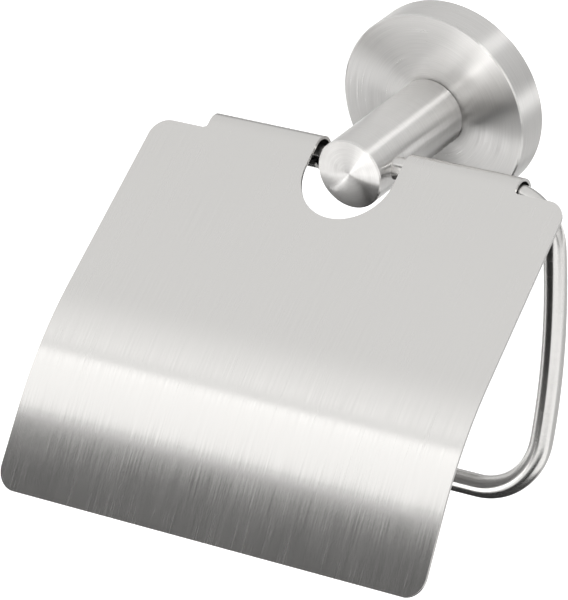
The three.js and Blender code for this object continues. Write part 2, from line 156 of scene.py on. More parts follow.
class HolderScrewSizes(bpy.types.PropertyGroup):
    """Wall screws, grub screws, post screw and washer."""
    edge: length("Edge", "Broken edges of the heads and of the washer", 0.0002)
    wall_shank: length("Wall Shank", "Shank radius of the wall screws", 0.002)
    wall_head: length("Wall Head", "Radius of the wall screws' countersunk heads", 0.0039)
    wall_sink: length("Wall Sink", "Height of the wall screws' countersunk heads", 0.0022)
    wall_neck: length("Wall Neck", "Plain neck below the wall screws' heads", 0.0035)
    wall_point: length("Wall Point", "Length of the wall screws' points", 0.004)
    wall_pitch: length("Wall Pitch", "Thread pitch of the wall screws", 0.0014)
    wall_thread: length("Wall Thread", "Thread depth of the wall screws", 0.0006)
    wall_recess: length("Wall Recess", "Depth of the wall screws' cross recesses", 0.0014)
    grub_radius: length("Grub Radius", "Radius of the grub screws", 0.0019)
    grub_chamfer: length("Grub Chamfer", "Chamfer of the grub screws", 0.0003)
    grub_pitch: length("Grub Pitch", "Thread pitch of the grub screws", 0.0007)
    grub_thread: length("Grub Thread", "Thread depth of the grub screws", 0.00025)
    grub_socket: length("Grub Socket", "Corner radius of the grub screws' hexagon sockets", 0.00115)
    grub_socket_depth: length("Grub Socket Depth", "Depth of the grub screws' sockets", 0.002)
    post_shank: length("Post Shank", "Shank radius of the post screw", 0.003)
    post_grip: length("Post Grip", "Length of the post screw in the post", 0.012)
    post_head: length("Post Head", "Height of the post screw's head", 0.003)
    post_neck: length("Post Neck", "Plain neck below the post screw's head", 0.003)
    post_pitch: length("Post Pitch", "Thread pitch of the post screw", 0.001)
    post_thread: length("Post Thread", "Thread depth of the post screw", 0.0005)
    post_socket_depth: length("Post Socket Depth", "Depth of the post screw's socket", 0.0018)
    knurl: length("Knurl", "Half the depth of the knurl on the post screw's head", 0.00012)
    knurls: IntProperty(name="Knurls", description="Grooves round the post screw's head", default=40, min=0)


class HolderFinish(bpy.types.PropertyGroup):
    """Colours and brushing of the finishes."""
    steel: colour("Steel", "Stainless steel", (0.63, 0.62, 0.605))
    steel_dark: colour("Steel Grooves", "Stainless steel in its brush marks", (0.612, 0.602, 0.587))
    # Partly painted shade: the mill steel is much darker than real unbrushed steel, to shade the lid's
    # underside.
    steel_mill_and_painted_shade: colour("Mill Steel", "Unbrushed inner face of the sheet", (0.28, 0.276, 0.272))
    turned: colour("Turned Steel", "Lathe-turned stainless steel", (0.72, 0.71, 0.695))
    turned_dark: colour("Turned Grooves", "Turned steel in its grooves", (0.65, 0.64, 0.625))
    zinc: colour("Zinc", "Zinc-plated screws", (0.55, 0.56, 0.58))
    plastic: colour("Plastic", "Black plastic sleeve", (0.012, 0.012, 0.013))
    brush_pitch: length("Brush Pitch", "Distance between the lid's brush marks", 0.00022)
    brush_length: length("Brush Length", "Length of the lid's brush marks", 0.02)


class HolderStage(bpy.types.PropertyGroup):
    """Floor, light and camera."""
    floor_drop: length("Floor Drop", "Floor below the wall axis", 0.35)
    floor_colour: colour("Floor", "Pale floor", (0.93, 0.93, 0.93))
    floor_width: length("Floor Width", "Width and depth of the floor", 12.0)
    floor_glow: amount("Floor Glow", "Light given off by the floor", 0.6, 5.0)
    backdrop: colour("Backdrop", "Pale backdrop behind the holder", (0.93, 0.93, 0.93))
    camera_place: FloatVectorProperty(
        name="Camera", description="Place of the camera", default=(0.57199, -0.88842, 0.49542),
        subtype="TRANSLATION", unit="LENGTH")
    camera_right: FloatVectorProperty(
        name="Camera Right", description="Direction to the right of the view",
        default=(0.835199, 0.544672, -0.075993), subtype="DIRECTION")
    camera_up: FloatVectorProperty(
        name="Camera Up", description="Direction up the view",
        default=(-0.197043, 0.425385, 0.883302), subtype="DIRECTION")
    lens: FloatProperty(name="Lens", description="Focal length", default=268.8, unit="CAMERA")


# ---- numpy surfaces

SAME = 1e-7  # places nearer to each other than this count as one


def grid_faces(rows, columns, first=0):
    """Quads of a grid of rows by columns points: (i, j), (i, j+1), (i+1, j+1), (i+1, j)."""
    index = first + np.arange(rows * columns).reshape(rows, columns)
    return np.stack([index[:-1, :-1], index[:-1, 1:], index[1:, 1:], index[1:, :-1]], -1).reshape(-1, 4)


def walk(lengths, curvatures, at, heading):
    """Plane curve of straights and arcs, at the distances `at` along it.

    The heading is the integral of the curvature, and each step of length d between two
    distances adds the chord (2 / k) sin(k d / 2) in the direction of the middle heading.
    Returns the points' two coordinates and the headings."""
    ends = np.cumsum(lengths)
    places = np.unique(np.concatenate([[0.0], ends, at]))
    middles = (places[1:] + places[:-1]) / 2
    curvature = np.asarray(curvatures)[np.searchsorted(ends, middles).clip(max=len(lengths) - 1)]
    gaps = np.diff(places)
    turns = curvature * gaps
    headings = heading + np.concatenate([[0.0], np.cumsum(turns)])
    chords = gaps * np.sinc(turns / (2 * np.pi))
    middle_headings = headings[:-1] + turns / 2
    u = np.concatenate([[0.0], np.cumsum(chords * np.cos(middle_headings))])
    v = np.concatenate([[0.0], np.cumsum(chords * np.sin(middle_headings))])
    return np.interp(at, places, u), np.interp(at, places, v), np.interp(at, places, headings)


def make_mesh(name, grids, finishes, flip=False):
    """Object of several grids of points, merged where they meet, with its UV map and finishes.

    Each grid is (points rows x columns x 3, across rows x columns, along rows x columns): the
    UV map's first coordinate runs across the brushing and its second along it, in metres."""
    points, faces, uvs = [], [], []
    first = 0
    for place, across, along in grids:
        rows, columns = place.shape[:2]
        points.append(place.reshape(-1, 3))
        uvs.append(np.stack([across, along], -1).reshape(-1, 2))
        faces.append(grid_faces(rows, columns, first))
        first += rows * columns
    points, uvs, faces = np.concatenate(points), np.concatenate(uvs), np.concatenate(faces)
    if flip:
        faces = faces[:, ::-1]
    mesh = bpy.data.meshes.new(name)
    mesh.vertices.add(len(points))
    mesh.vertices.foreach_set("co", points.astype(np.float32).ravel())
    mesh.loops.add(faces.size)
    mesh.loops.foreach_set("vertex_index", faces.astype(np.int32).ravel())
    mesh.polygons.add(len(faces))
    mesh.polygons.foreach_set("loop_start", np.arange(0, faces.size, 4, dtype=np.int32))
    layer = mesh.uv_layers.new(name="brushing")
    mesh.update(calc_edges=True)
    layer.data.foreach_set("uv", uvs[faces.ravel()].astype(np.float32).ravel())
    merged = bmesh.new()
    merged.from_mesh(mesh)
    bmesh.ops.remove_doubles(merged, verts=merged.verts, dist=SAME)
    bmesh.ops.dissolve_degenerate(merged, edges=merged.edges, dist=1e-8)
    merged.to_mesh(mesh)
    merged.free()
    piece = bpy.data.objects.new(name, mesh)
    bpy.context.scene.collection.objects.link(piece)
    for finish in finishes:
        mesh.materials.append(finish_named(finish))
    return piece


def turned(name, profile, finishes, around, axis="Y", centre=(0, 0, 0), wave=None):
    """Solid of revolution: (radius, place) profile points carried round an axis.

    At angle t the point is centre + place * axis + radius * (cos t, sin t) in the plane
    across the axis. wave(t, place, radius), if given, returns the radius to use instead."""
    profile = np.asarray(profile, float)
    t = np.linspace(0, 2 * np.pi, around + 1)
    radius = np.repeat(profile[:, :1], around + 1, 1)
    place = np.repeat(profile[:, 1:], around + 1, 1)
    if wave is not None:
        radius = wave(t[None, :], place, radius)
    a, b = radius * np.cos(t), radius * np.sin(t)
    order = {"X": (place, a, b), "Y": (b, place, a), "Z": (a, b, place)}[axis]
    points = np.stack(order, -1) + np.asarray(centre, float)
    run = np.concatenate([[0.0], np.cumsum(np.hypot(*np.diff(profile, axis=0).T))])
    across = np.repeat(run[:, None], around + 1, 1)
    along = np.repeat(t[None, :] * profile[:, 0].max(), len(profile), 0)
    return make_mesh(name, [(points, across, along)], finishes, flip=True)


def finish_piece(piece, body, slot, *nodes, sharp=30.0):
    """Smooth shading with sharp edges, then the piece's body and the nodes it stands for, which are hidden.
    The slot is not used.
    """
    mesh = piece.data
    mesh.polygons.foreach_set("use_smooth", np.ones(len(mesh.polygons), bool))
    mesh.set_sharp_from_angle(angle=math.radians(sharp))
    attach(piece, body)
    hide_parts(*nodes)
    return piece


def apply_modifiers(piece):
    """Makes the modifiers' result the piece's own mesh."""
    bpy.context.view_layer.update()
    evaluated = piece.evaluated_get(bpy.context.evaluated_depsgraph_get())
    mesh = bpy.data.meshes.new_from_object(evaluated)
    piece.modifiers.clear()
    old = piece.data
    piece.data = mesh
    bpy.data.meshes.remove(old)


def bore(piece, *tools):
    """Cuts the tools out of the piece and removes them."""
    for tool in tools:
        cut = piece.modifiers.new("bore", "BOOLEAN")
        cut.operation = "DIFFERENCE"
        cut.solver = "EXACT"
        cut.object = tool
    apply_modifiers(piece)
    for tool in tools:
        bpy.data.objects.remove(tool)


CLEAR = 1.2  # how far out a drill across a round piece starts, in the piece's radii


def drill(radius, start, end, axis, centre, around=48):
    """Round cutting tool between two places on an axis."""
    profile = [(0, start), (radius, start), (radius, end), (0, end)]
    return turned("tool", profile, [], around, axis, centre)


def socket_tool(radius, start, end, axis, centre):
    """Six-sided cutting tool for a hexagon socket."""
    return drill(radius, start, end, axis, centre, around=6)


# ---- materials

MIX_LOW, MIX_HIGH, MIX_RESULT = 6, 7, 2  # a colour mix's sockets
NOISE_LOW, NOISE_HIGH = 0.28, 0.72  # a layer of brush marks mostly lies between these


def node_maker(tree):
    """Function that makes a node in the tree from its kind, inputs and settings.

    An input is the socket that feeds it, or its own value."""
    def node(kind, inputs=None, **settings):
        made = tree.nodes.new(kind)
        for key, value in settings.items():
            setattr(made, key, value)
        for key, value in (inputs or {}).items():
            if isinstance(value, bpy.types.NodeSocket):
                tree.links.new(value, made.inputs[key])
            else:
                made.inputs[key].default_value = value
        return made
    return node


def blend(node, factor, low, high):
    """Colour between low, where the factor is 0, and high, where it is 1."""
    mixed = node("ShaderNodeMix", {"Factor": factor, MIX_LOW: (*low, 1), MIX_HIGH: (*high, 1)},
                 data_type="RGBA")
    return mixed.outputs[MIX_RESULT]


def calculate(node, operation, first, second):
    """Result of an operation on two numbers."""
    return node("ShaderNodeMath", {0: first, 1: second}, operation=operation).outputs[0]


def remap(node, value, source, target):
    """The value carried from its range over to the target range, and kept inside it."""
    return node("ShaderNodeMapRange", {"Value": value, "From Min": source[0], "From Max": source[1],
                                       "To Min": target[0], "To Max": target[1]}).outputs[0]


def object_noise(node, scale, detail=2.0):
    """Noise fixed to the piece, with `scale` cells to the metre."""
    place = node("ShaderNodeTexCoord").outputs["Object"]
    return node("ShaderNodeTexNoise", {"Vector": place, "Scale": scale, "Detail": detail}).outputs["Fac"]


def new_material(name, metallic=0.0):
    """Material, the function that makes its nodes, and the function that feeds its shader."""
    material = bpy.data.materials.new(name)
    material.use_nodes = True
    tree = material.node_tree
    shader = tree.nodes["Principled BSDF"]
    shader.inputs["Metallic"].default_value = metallic

    def feed(**sockets):
        for key, value in sockets.items():
            socket = shader.inputs[key.replace("_", " ")]
            if isinstance(value, bpy.types.NodeSocket):
                tree.links.new(value, socket)
            else:
                socket.default_value = value

    return material, node_maker(tree), feed


def brush_marks(node, pitch, run):
    """Noise whose cells are brush marks, `pitch` apart and `run` long, along the UV map's v."""
    uv = node("ShaderNodeUVMap", uv_map="brushing").outputs[0]
    place = node("ShaderNodeMapping", {"Vector": uv, "Scale": (1 / pitch, 1 / run, 1)}).outputs[0]
    return node("ShaderNodeTexNoise", {"Vector": place, "Scale": 1.0, "Detail": 2.0, "Roughness": 0.55},
                noise_dimensions="2D").outputs["Fac"]


def brushed_metal(name, colours, roughness, anisotropy, marks, depth, spread=0.12, wear=0.08):
    """Brushed metal. marks lists (pitch, length, weight) of the layers of brush marks.

    The layers of stretched noise are added up, and the sum shades the colour between the
    groove and the land, moves the roughness by `spread` of itself and, as a height of
    `depth`, the normal. Handling moves the roughness by `wear` of itself in soft patches."""
    material, node, feed = new_material(name, metallic=1.0)
    land, groove = colours
    total = 0.0
    for pitch, run, weight in marks:
        layer = calculate(node, "MULTIPLY", brush_marks(node, pitch, run), weight)
        total = calculate(node, "ADD", total, layer)
    full = sum(weight for _, _, weight in marks)
    share = remap(node, total, (NOISE_LOW * full, NOISE_HIGH * full), (0, 1))
    brushed = remap(node, share, (0, 1), (roughness * (1 + spread), roughness * (1 - spread)))
    patches = object_noise(node, 60.0, 3.0)
    handled = remap(node, patches, (0.35, 0.75), (-wear * roughness, wear * roughness))
    rough = calculate(node, "ADD", brushed, handled)
    bump = node("ShaderNodeBump", {"Height": total, "Distance": depth, "Strength": 1.0}).outputs[0]
    tangent = node("ShaderNodeTangent", direction_type="UV_MAP", uv_map="brushing").outputs[0]
    feed(Base_Color=blend(node, share, groove, land), Roughness=rough, Normal=bump, Tangent=tangent,
         Anisotropic=anisotropy)
    return material


def shaded(tone, factor):
    """The colour times the factor."""
    return tuple(factor * part for part in tone)


def sheet_steel(finish):
    """Long straight brush marks that run from the hinge to the lip."""
    pitch, run = finish.brush_pitch, finish.brush_length
    marks = [(pitch, run, 1.0), (3.3 * pitch, 2.2 * run, 0.35), (30 * pitch, 6 * run, 0.05)]
    return brushed_metal("sheet_steel", (finish.steel, finish.steel_dark), 0.22, 0.9, marks,
                         0.000001, spread=0.3)


def mill_steel_and_painted_shade(finish):
    """Dull rolled inner face of the sheet, as it left the mill, its colour darkened as painted shade for
    the lid's shaded underside.
    """
    marks = [(0.0003, 0.006, 1.0), (0.0015, 0.03, 0.3)]
    return brushed_metal("mill_steel_and_painted_shade", (finish.steel_mill_and_painted_shade, shaded(finish.steel_mill_and_painted_shade, 0.85)), 0.36, 0.4,
                         marks, 0.000001)


def cut_edge_steel(finish):
    """Cut and deburred edges of the sheet, finely grained in all directions."""
    material, node, feed = new_material("cut_edge_steel", metallic=1.0)
    grain = object_noise(node, 3000.0)
    rough = remap(node, grain, (0, 1), (0.24, 0.34))
    bump = node("ShaderNodeBump", {"Height": grain, "Distance": 0.000002}).outputs[0]
    feed(Base_Color=blend(node, grain, finish.steel_dark, finish.turned), Roughness=rough, Normal=bump)
    return material


def lathe_steel(finish):
    """Fine lathe marks round the axis."""
    marks = [(0.00025, 0.02, 1.0), (0.0007, 0.02, 0.3), (0.0025, 0.05, 0.08)]
    return brushed_metal("lathe_steel", (finish.turned, finish.turned_dark), 0.33, 1.0, marks, 0.0000007)


def ground_steel(finish):
    """Rod steel, ground round its section."""
    marks = [(0.00022, 0.012, 1.0), (0.0014, 0.02, 0.2)]
    return brushed_metal("ground_steel", (finish.steel, finish.steel_dark), 0.24, 0.6, marks, 0.0000005)


def zinc_plate(finish):
    """Bright zinc plating on pressed and rolled screws."""
    marks = [(0.0004, 0.0005, 1.0), (0.002, 0.002, 0.8)]
    return brushed_metal("zinc_plate", (finish.zinc, shaded(finish.zinc, 0.7)), 0.36, 0.15, marks,
                         0.0000015)


def sleeve_plastic(finish):
    """Black moulded plastic with a fine grain and faint scuffs."""
    material, node, feed = new_material("sleeve_plastic")
    grain, scuff = object_noise(node, 4000.0), object_noise(node, 300.0, 3.0)
    rough = remap(node, scuff, (0, 1), (0.42, 0.62))
    bump = node("ShaderNodeBump", {"Height": grain, "Distance": 0.00001}).outputs[0]
    feed(Base_Color=blend(node, scuff, finish.plastic, shaded(finish.plastic, 2.5)), Roughness=rough,
         Normal=bump)
    return material


MAKERS = {
    "sheet_steel": sheet_steel,
    "mill_steel_and_painted_shade": mill_steel_and_painted_shade,
    "cut_edge_steel": cut_edge_steel,
    "lathe_steel": lathe_steel,
    "ground_steel": ground_steel,
    "zinc_plate": zinc_plate,
    "sleeve_plastic": sleeve_plastic,
}


def finish_named(name):
    """The material of that name, made on its first use."""
    return bpy.data.materials.get(name) or MAKERS[name](bpy.context.scene.holder_finish)


# ---- lid

def lid_half_width(size, reach, end):
    """Half width of the lid at a distance from the hinge along its flat part's direction.

    Straight flared side, with a quarter circle taken off at the ear and one at the lip:
    a corner of radius R takes off R - sqrt(R^2 - g^2) where g runs from R at the end to 0."""
    flare = (size.half_width_lip - size.half_width_top) / (end - size.ear_top)
    side = size.half_width_top + flare * (reach - size.ear_top)
    ear = np.clip(size.ear_corner - (reach - size.ear_top), 0, size.ear_corner)
    lip = np.clip(size.lip_corner - (end - reach), 0, size.lip_corner)
    off = size.ear_corner - np.sqrt(size.ear_corner ** 2 - ear ** 2)
    return side - off - (size.lip_corner - np.sqrt(size.lip_corner ** 2 - lip ** 2))


def fanned(size, s):
    """Where the rows that start at the distances s by the notch end at the tab's line.

    Beside the notch's round end the outer ends are spread evenly by the angle round it, and
    below it evenly by distance, so that no row lies along the notch's edge."""
    notch_end = size.notch_straight + size.notch
    fan_end = notch_end + size.fan * (size.flat - notch_end)
    turn = np.arcsin(np.clip((s - size.notch_straight) / size.notch, 0, 1)) / (np.pi / 2)
    below = np.clip((s - notch_end) / (size.flat - notch_end), 0, 1)
    spread = size.notch_straight + (fan_end - size.notch_straight) * turn + (size.flat - fan_end) * below
    return np.where((s > size.notch_straight) & (s < size.flat), spread, s)


def lid_rows(size, curl, bend):
    """Distances along the profile, 0 at the hinge, of the rows of points: they crowd
    together where the profile bends and where the outline or the notch is round."""
    quarter = np.linspace(0, np.pi / 2, 13)
    fillet_start = size.ear_top - size.tab_fillet
    notch_end, bend_end = size.notch_straight + size.notch, size.flat + bend
    corner = size.lip_corner / math.cos(size.bend_angle)
    corner_start = bend_end + size.lip - corner
    return np.unique(np.round(np.concatenate([
        np.linspace(-curl, 0, 57),
        fillet_start + size.tab_fillet * (1 - np.cos(quarter[::3])),
        size.ear_top + size.ear_corner * (1 - np.cos(quarter)),
        size.notch_straight + size.notch * np.sin(np.linspace(0, np.pi / 2, 33)),
        np.linspace(notch_end, size.flat, 12),
        np.linspace(size.flat, bend_end, 25),
        np.linspace(bend_end, corner_start, 7),
        corner_start + corner * np.sin(quarter),
    ]), 8))


def lid_grids(size):
    """Outer face of the lid: x across, and the distance s along the profile.

    The profile is a curl, a flat, a bend and a lip. Each half has two strips of columns,
    from the notch to the tab's end and from there to the side."""
    curl = size.curl_radius * size.curl_wrap
    bend = size.bend_radius * size.bend_angle
    lengths = [curl, size.flat, bend, size.lip]
    curvatures = [1 / size.curl_radius, 0, 1 / size.bend_radius, 0]
    fillet_start = size.ear_top - size.tab_fillet
    s = lid_rows(size, curl, bend)
    start = np.argmin(np.abs(s))
    slope_cos, slope_sin = math.cos(size.slope), math.sin(size.slope)

    def profile(at):
        """Places y and z, and the reach along the flat part's direction, at the distances."""
        u, v, _ = walk(lengths, curvatures, at + curl, size.slope - size.curl_wrap)
        u, v = u - u[start], v - v[start]
        reach = np.where(at <= 0, 0, u * slope_cos + v * slope_sin)
        return (hinge.y - slope_sin * size.curl_radius - u,
                hinge.z + slope_cos * size.curl_radius - v, reach)

    outer_s = fanned(size, s)
    y, z, reach = profile(s)
    outer_y, outer_z, outer_reach = profile(outer_s)
    below = np.clip(reach - size.notch_straight, 0, size.notch)
    notch = np.sqrt(np.maximum(size.notch ** 2 - below ** 2, 0))
    notch[reach >= size.notch_straight + size.notch - SAME] = 0
    rise = np.clip((outer_reach - fillet_start) / size.tab_fillet, 0, 1)
    tab = size.tab_end + size.tab_fillet * (1 - np.sqrt(1 - rise ** 2))
    side = lid_half_width(size, outer_reach, outer_reach[-1])
    notch_line = np.stack([notch, y, z, s], -1)
    tab_line = np.stack([tab, outer_y, outer_z, outer_s], -1)
    side_line = np.stack([side, outer_y, outer_z, outer_s], -1)
    grids = []
    for hand in (1, -1):
        for inner, outer, rows, columns in (
            (notch_line, tab_line, s >= s[0], 25),
            (tab_line, side_line, s >= size.ear_top - SAME, 9),
        ):
            share = np.linspace(0, 1, columns)[None, :, None]
            strip = inner[rows, None] + (outer - inner)[rows, None] * share
            strip[..., 0] *= hand
            if hand > 0:
                strip = strip[:, ::-1]
            grids.append((strip[..., :3], strip[..., 0], strip[..., 3]))
    return grids


class HOLDER_OT_lid(bpy.types.Operator):
    """Builds the lid"""
    bl_idname = "holder.lid"
    bl_label = "Lid"

    def execute(self, context):
        size = context.scene.holder_lid
        piece = make_mesh("lid_sheet", lid_grids(size), ["sheet_steel", "mill_steel_and_painted_shade", "cut_edge_steel"])
        wall = piece.modifiers.new("wall", "SOLIDIFY")
        wall.thickness = size.sheet
        wall.offset = -1
        wall.use_even_offset = True
        # The inner face gets the mill steel, its dark colour painted shade.
        wall.material_offset = 1
        wall.material_offset_rim = 2
        edge = piece.modifiers.new("edge", "BEVEL")
        edge.width = size.edge
        edge.segments = 2
        edge.limit_method = "ANGLE"
        edge.angle_limit = math.radians(50)
        edge.material = 2
        apply_modifiers(piece)
        finish_piece(piece, "lid", "lid_steel", "lid", sharp=20)
        return {"FINISHED"}


# ---- rod

def round_end(radius, rounding, count=5):
    """(place, radius) of a rounded end: from the axis out to the full radius."""
    t = np.linspace(0, np.pi / 2, count)
    return rounding * (1 - np.cos(t)), radius - rounding + rounding * np.sin(t)


def rod_grid(size):
    """Rod along its centre line, a straight, a bend, a bow, a bend and a straight in one
    plane: centre(s) + r(s) (cos t * side + sin t * plane normal). The radius r(s) steps from
    the pin to the full rod at the shoulder and closes in at both rounded ends."""
    pin_start = -size.pin_end
    lower_angle = math.pi - size.upper_angle - size.side_angle
    angles = [size.upper_angle, size.side_angle, lower_angle]
    radii = [size.upper_radius, size.side_radius, size.lower_radius]
    straight = size.straight_end - pin_start
    lengths = [straight] + [r * a for r, a in zip(radii, angles)]
    curvatures = [0] + [1 / r for r in radii]
    bends_end = sum(lengths)
    u, _, _ = walk(lengths, curvatures, np.array([bends_end]), 0.0)
    arm = pin_start + u[0] - rod_low.x
    lengths.append(arm)
    curvatures.append(0)
    total = bends_end + arm
    shoulder = size.shoulder - pin_start
    pin_at, pin_r = round_end(size.pin_radius, 0.4 * size.end_round)
    arm_at, arm_r = round_end(size.radius, size.end_round)
    edge = size.shoulder_edge
    pin_s = np.linspace(pin_at[-1], shoulder - 1e-6, 12)[1:]
    rod_s = np.concatenate([
        np.linspace(shoulder + edge, straight, 14), np.linspace(straight, bends_end, 120)[1:],
        np.linspace(bends_end, total - arm_at[-1], 24)[1:],
    ])
    s = np.concatenate([[0], pin_at, pin_s, [shoulder], rod_s, (total - arm_at[::-1])[1:], [total]])
    r = np.concatenate([[0], pin_r, np.full(len(pin_s), size.pin_radius), [size.radius - edge],
                        np.full(len(rod_s), size.radius), arm_r[::-1][1:], [0]])
    u, v, heading = walk(lengths, curvatures, s, 0.0)
    x = pin_start + u
    plane_normal = np.array([0, -math.cos(size.tilt), math.sin(size.tilt)])
    down = np.array([0, -math.sin(size.tilt), -math.cos(size.tilt)])
    centre = np.stack([x, np.zeros_like(x), np.zeros_like(x)], -1) + v[:, None] * down
    centre += np.array([0, hinge.y, hinge.z])
    side = np.stack([-np.sin(heading), np.zeros_like(x), np.zeros_like(x)], -1)
    side += np.cos(heading)[:, None] * down
    t = np.linspace(0, 2 * np.pi, size.sides + 1)
    points = centre[:, None] + r[:, None, None] * (
        np.cos(t)[None, :, None] * side[:, None] + np.sin(t)[None, :, None] * plane_normal)
    across = np.repeat(s[:, None], len(t), 1)
    along = np.repeat(t[None, :] * size.radius, len(s), 0)
    return points, across, along


class HOLDER_OT_rod(bpy.types.Operator):
    """Builds the bent rod"""
    bl_idname = "holder.rod"
    bl_label = "Rod"

    def execute(self, context):
        piece = make_mesh("roll_rod_bar", [rod_grid(context.scene.holder_rod)], ["ground_steel"])
        finish_piece(piece, "root", "rod_steel", "roll_rod", sharp=32)
        return {"FINISHED"}


# ---- post and flange

def chamfered(radius, start, end, start_chamfer, end_chamfer, rows=3):
    """Profile of a bar with a chamfer at both ends, from its start on the axis to its end."""
    sign = 1 if end > start else -1
    sides = [(radius, place) for place in np.linspace(start + sign * start_chamfer,
                                                      end - sign * end_chamfer, rows)]
    return [(0, start), (0.5 * radius, start), (radius - start_chamfer, start), *sides,
            (radius - end_chamfer, end), (0.5 * radius, end), (0, end)]


class HOLDER_OT_post(bpy.types.Operator):
    """Builds the post, bored for the rod, its pin, the set screw and the post screw"""
    bl_idname = "holder.post"
    bl_label = "Post"

    def execute(self, context):
        scene = context.scene
        mount, screws, rod = scene.holder_mount, scene.holder_screws, scene.holder_rod
        gap, radius = mount.clearance, post_high.z
        profile = chamfered(radius, post_high.y, post_low.y, mount.base_chamfer, mount.chamfer, 24)
        piece = turned("post_bar", profile, ["lathe_steel"], mount.around)
        piece.data.flip_normals()  # the profile runs backwards along the axis
        seat = rod.shoulder - gap
        bore(piece,
             drill(rod.pin_radius + gap, -CLEAR * radius, seat + gap, "X", hinge),
             drill(rod.radius + gap, seat, CLEAR * radius, "X", hinge),
             drill(screws.grub_radius + gap, -CLEAR * radius, 0, "Z", hinge),
             drill(screws.post_shank + gap, post_high.y - screws.post_grip - gap,
                   post_high.y + radius, "Y", (0, 0, 0)))
        finish_piece(piece, "root", "turned_steel", "post")
        return {"FINISHED"}


class HOLDER_OT_flange(bpy.types.Operator):
    """Builds the round flange, a cup open towards the wall"""
    bl_idname = "holder.flange"
    bl_label = "Flange"

    def execute(self, context):
        mount, screws = context.scene.holder_mount, context.scene.holder_screws
        radius, front, edge = flange_high.z, flange_low.y, mount.chamfer
        inside, inner_radius = front + mount.face, radius - mount.wall
        hole = screws.post_shank + mount.clearance
        back_edge = 0.4 * edge
        face = [(r, front) for r in np.linspace(hole, radius - edge, 12)]
        rim = [(radius, front + edge), (radius, (front + edge) / 2), (radius, -back_edge),
               (radius - back_edge, 0)]
        hollow = [(inner_radius + edge, 0), (inner_radius, -edge), (inner_radius, inside), (hole, inside)]
        profile = [(hole, inside), *face, *rim, *hollow]
        piece = turned("flange_cup", profile, ["lathe_steel"], mount.around)
        grub_place = (0, (grub_low.y + grub_high.y) / 2, 0)
        bore(piece, drill(screws.grub_radius + mount.clearance, -CLEAR * radius,
                          -inner_radius + mount.wall / 3, "Z", grub_place))
        finish_piece(piece, "root", "turned_steel", "flange")
        return {"FINISHED"}


# ---- sleeve, screws and wall plate

SCREW_AROUND = 48


class HOLDER_OT_sleeve(bpy.types.Operator):
    """Builds the plastic sleeve round the pin in the left curl"""
    bl_idname = "holder.sleeve"
    bl_label = "Sleeve"

    def execute(self, context):
        mount, rod = context.scene.holder_mount, context.scene.holder_rod
        outer, inner = sleeve_high.z - hinge.z, rod.pin_radius + mount.clearance
        corner_x, corner_r = round_end(outer, 0.3 * (outer - inner))
        x0, x1 = sleeve_low.x, sleeve_high.x
        profile = np.concatenate([
            [(inner, x0)], np.stack([corner_r, x0 + corner_x], -1),
            np.stack([corner_r, x1 - corner_x], -1)[::-1], [(inner, x1), (inner, x0)]])
        piece = turned("sleeve", profile, ["sleeve_plastic"], SCREW_AROUND, "X", (0, hinge.y, hinge.z))
        finish_piece(piece, "root", "black_nylon", "hinge_sleeve")
        return {"FINISHED"}


def thread(start, end, pitch, depth):
    """Screw thread between two places on the axis, as a change of a turned piece's radius.

    The radius falls by depth times a triangle wave of place / pitch + t / (2 pi), which
    fades in over one pitch at both ends."""
    def wave(t, place, radius):
        phase = (place / pitch + t / (2 * np.pi)) % 1
        groove = np.abs(2 * phase - 1)
        fade = np.clip((place - start) / pitch, 0, 1) * np.clip((end - place) / pitch, 0, 1)
        return radius - np.minimum(depth, 0.8 * radius) * groove * fade
    return wave


def cross_tools(radius, top, depth, centre):
    """Two tapered slots across each other, for a cross recess that opens towards -Y."""
    tools = []
    for turn in (0, math.pi / 2):
        tool = drill(1.0, 0, depth + radius, "Y", (0, 0, 0), around=4)
        tool.data.transform(Matrix.Rotation(math.pi / 4, 4, "Y"))
        tool.data.transform(Matrix.Diagonal((radius, 1, 0.22 * radius, 1)))
        tool.data.transform(Matrix.Rotation(turn, 4, "Y"))
        tool.data.transform(Matrix.Translation((centre[0], top - radius, centre[2])))
        tools.append(tool)
    return tools


def wall_screw(name, low, high, node, sizes):
    """Countersunk wood screw along Y with a rolled thread, a point and a cross recess."""
    head, tip = low.y, high.y
    neck, point = head + sizes.wall_sink, tip - sizes.wall_point
    thread_start = neck + sizes.wall_neck
    centre = ((low.x + high.x) / 2, 0, (low.z + high.z) / 2)
    shank = [(sizes.wall_shank, p) for p in np.arange(thread_start, point, sizes.wall_pitch / 8)]
    taper = [(sizes.wall_shank * (tip - p) / sizes.wall_point, p) for p in np.linspace(point, tip, 24)]
    profile = [(0, head), (sizes.wall_head - sizes.edge, head), (sizes.wall_head, head + sizes.edge),
               (sizes.wall_shank, neck), *shank, *taper]
    piece = turned(name, profile, ["zinc_plate"], SCREW_AROUND, "Y", centre,
                   wave=thread(thread_start, tip, sizes.wall_pitch, sizes.wall_thread))
    bore(piece, *cross_tools(0.6 * sizes.wall_head, head, sizes.wall_recess, centre))
    return finish_piece(piece, "root", "zinc_plated_steel", node, sharp=40)


def grub_screw(name, low, high, node, sizes):
    """Headless screw along Z, threaded, chamfered and with a hexagon socket below."""
    radius, chamfer = sizes.grub_radius, sizes.grub_chamfer
    centre = (0, (low.y + high.y) / 2, 0)
    places = np.arange(low.z + chamfer, high.z - chamfer, sizes.grub_pitch / 6)
    profile = [(0, low.z), (radius - chamfer, low.z), *((radius, p) for p in places),
               (radius - chamfer, high.z), (0, high.z)]
    piece = turned(name, profile, ["zinc_plate"], SCREW_AROUND, "Z", centre,
                   wave=thread(low.z, high.z, sizes.grub_pitch, sizes.grub_thread))
    bore(piece, socket_tool(sizes.grub_socket, low.z - 0.5 * sizes.grub_socket_depth,
                            low.z + sizes.grub_socket_depth, "Z", centre))
    return finish_piece(piece, "root", "zinc_plated_steel", node, sharp=40)


